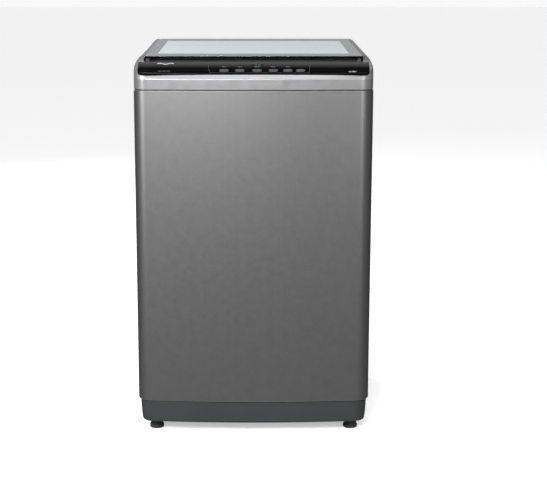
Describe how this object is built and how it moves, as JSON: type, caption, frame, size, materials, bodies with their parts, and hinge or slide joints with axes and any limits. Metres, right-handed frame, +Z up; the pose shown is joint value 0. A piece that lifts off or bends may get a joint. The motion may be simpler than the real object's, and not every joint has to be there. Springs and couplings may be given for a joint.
{
  "type": "top load washing machine",
  "caption": "Free-standing top load washing machine with a hinged glass lid, a sloping push-button panel, a suspended tub with a spin basket and pulsator, and adjustable feet.",
  "frame": {"origin": "middle of the floor area under the machine, at the bottom of the feet", "axes": "+Z up, front faces -Y, +X to the right of someone looking at the front"},
  "size_m": [0.55, 0.572, 0.9163],
  "materials": {
    "cabinet_paint": "satin metallic grey",
    "silver_plastic": "satin silver",
    "black_panel": "gloss black",
    "base_plastic": "fine texture, dark grey",
    "glass": "tempered, smoked, with a printed border",
    "dark_plastic": "moulded, dark grey",
    "button_plastic": "satin grey",
    "display": "tinted window",
    "white_plastic": "moulded, white",
    "tub_plastic": "moulded, light grey",
    "stainless": "brushed",
    "zinc_steel": "zinc plated",
    "chrome": "polished",
    "aluminium": "die cast",
    "motor_black": "satin black",
    "rubber": "matte"
  },
  "bodies": {
    "cabinet": {"cabinet_shell": "cabinet_paint", "rear_panel": "zinc_steel", "base_frame": "base_plastic", "top_cover": "silver_plastic", "control_panel": "black_panel", "display_window": "display", "control_box": "dark_plastic", "hinge_pin_left": "zinc_steel", "hinge_pin_right": "zinc_steel", "lid_bumper_left": "rubber", "lid_bumper_right": "rubber", "lid_switch": "white_plastic", "detergent_housing": "white_plastic", "inlet_valve": "white_plastic", "cord_gland": "rubber", "drain_outlet": "dark_plastic", "corner_bracket_front_left": "zinc_steel", "corner_bracket_front_right": "zinc_steel", "corner_bracket_rear_left": "zinc_steel", "corner_bracket_rear_right": "zinc_steel", "suspension_rod_front_left": "zinc_steel", "suspension_rod_front_right": "zinc_steel", "suspension_rod_rear_left": "zinc_steel", "suspension_rod_rear_right": "zinc_steel", "suspension_spring_front_left": "zinc_steel", "suspension_spring_front_right": "zinc_steel", "suspension_spring_rear_left": "zinc_steel", "suspension_spring_rear_right": "zinc_steel", "rear_foot_left": "rubber", "rear_foot_right": "rubber"},
    "lid": {"lid_glass": "glass", "lid_frame": "dark_plastic"},
    "program_button": {"program_button": "button_plastic"},
    "water_level_button": {"water_level_button": "button_plastic"},
    "wash_time_button": {"wash_time_button": "button_plastic"},
    "delay_button": {"delay_button": "button_plastic"},
    "start_pause_button": {"start_pause_button": "button_plastic"},
    "power_button": {"power_button": "button_plastic"},
    "detergent_drawer": {"detergent_drawer": "white_plastic"},
    "front_foot_left": {"front_foot_left": "rubber"},
    "front_foot_right": {"front_foot_right": "rubber"},
    "tub": {"outer_tub": "tub_plastic", "tub_ring": "tub_plastic", "gearbox": "aluminium", "motor_plate": "zinc_steel", "motor": "motor_black", "drive_belt": "rubber", "drain_valve": "dark_plastic"},
    "basket": {"basket": "stainless", "basket_hub": "aluminium", "spin_shaft": "zinc_steel", "balance_ring": "silver_plastic", "lint_filter": "silver_plastic"},
    "pulsator": {"pulsator": "silver_plastic", "pulsator_cap": "chrome", "pulsator_shaft": "stainless"},
    "drive_pulley": {"drive_pulley": "aluminium"},
    "motor_pulley": {"motor_pulley": "aluminium"}
  },
  "joints": [
    {"name": "lid_hinge", "type": "hinge", "parent": "cabinet", "child": "lid", "pos_m": [0, 0.236, 0.9036], "axis": [-1, 0, 0], "range_deg": [0, 100]},
    {"name": "program_press", "type": "slide", "parent": "cabinet", "child": "program_button", "axis": [0, 0.4472, -0.8944], "range_m": [0, 0.0012], "stiffness_N_per_m": 400},
    {"name": "water_level_press", "type": "slide", "parent": "cabinet", "child": "water_level_button", "axis": [0, 0.4472, -0.8944], "range_m": [0, 0.0012], "stiffness_N_per_m": 400},
    {"name": "wash_time_press", "type": "slide", "parent": "cabinet", "child": "wash_time_button", "axis": [0, 0.4472, -0.8944], "range_m": [0, 0.0012], "stiffness_N_per_m": 400},
    {"name": "delay_press", "type": "slide", "parent": "cabinet", "child": "delay_button", "axis": [0, 0.4472, -0.8944], "range_m": [0, 0.0012], "stiffness_N_per_m": 400},
    {"name": "start_pause_press", "type": "slide", "parent": "cabinet", "child": "start_pause_button", "axis": [0, 0.4472, -0.8944], "range_m": [0, 0.0012], "stiffness_N_per_m": 400},
    {"name": "power_press", "type": "slide", "parent": "cabinet", "child": "power_button", "axis": [0, 0.4472, -0.8944], "range_m": [0, 0.0012], "stiffness_N_per_m": 400},
    {"name": "drawer_slide", "type": "slide", "parent": "cabinet", "child": "detergent_drawer", "axis": [0, -1, 0], "range_m": [0, 0.075]},
    {"name": "front_foot_left_adjust", "type": "slide", "parent": "cabinet", "child": "front_foot_left", "axis": [0, 0, -1], "range_m": [0, 0.012]},
    {"name": "front_foot_right_adjust", "type": "slide", "parent": "cabinet", "child": "front_foot_right", "axis": [0, 0, -1], "range_m": [0, 0.012]},
    {"name": "tub_suspension", "type": "slide", "parent": "cabinet", "child": "tub", "axis": [0, 0, 1], "range_m": [-0.012, 0.01], "stiffness_N_per_m": 8000, "springref_m": 0.0335, "deforming": ["suspension_spring_front_left", "suspension_spring_front_right", "suspension_spring_rear_left", "suspension_spring_rear_right"]},
    {"name": "basket_spin", "type": "hinge", "parent": "tub", "child": "basket", "pos_m": [0, -0.007, 0.33], "axis": [0, 0, 1], "continuous": true},
    {"name": "pulsator_spin", "type": "hinge", "parent": "tub", "child": "pulsator", "pos_m": [0, -0.007, 0.33], "axis": [0, 0, 1], "continuous": true},
    {"name": "drive_pulley_spin", "type": "hinge", "parent": "tub", "child": "drive_pulley", "pos_m": [0, -0.007, 0.18], "axis": [0, 0, 1], "continuous": true},
    {"name": "motor_spin", "type": "hinge", "parent": "tub", "child": "motor_pulley", "pos_m": [0.14, 0.05, 0.18], "axis": [0, 0, 1], "continuous": true}
  ],
  "couplings": [
    {"joint": "drive_pulley_spin", "follows": "pulsator_spin", "ratio": 5.2},
    {"joint": "motor_spin", "follows": "pulsator_spin", "ratio": 15.826}
  ]
}
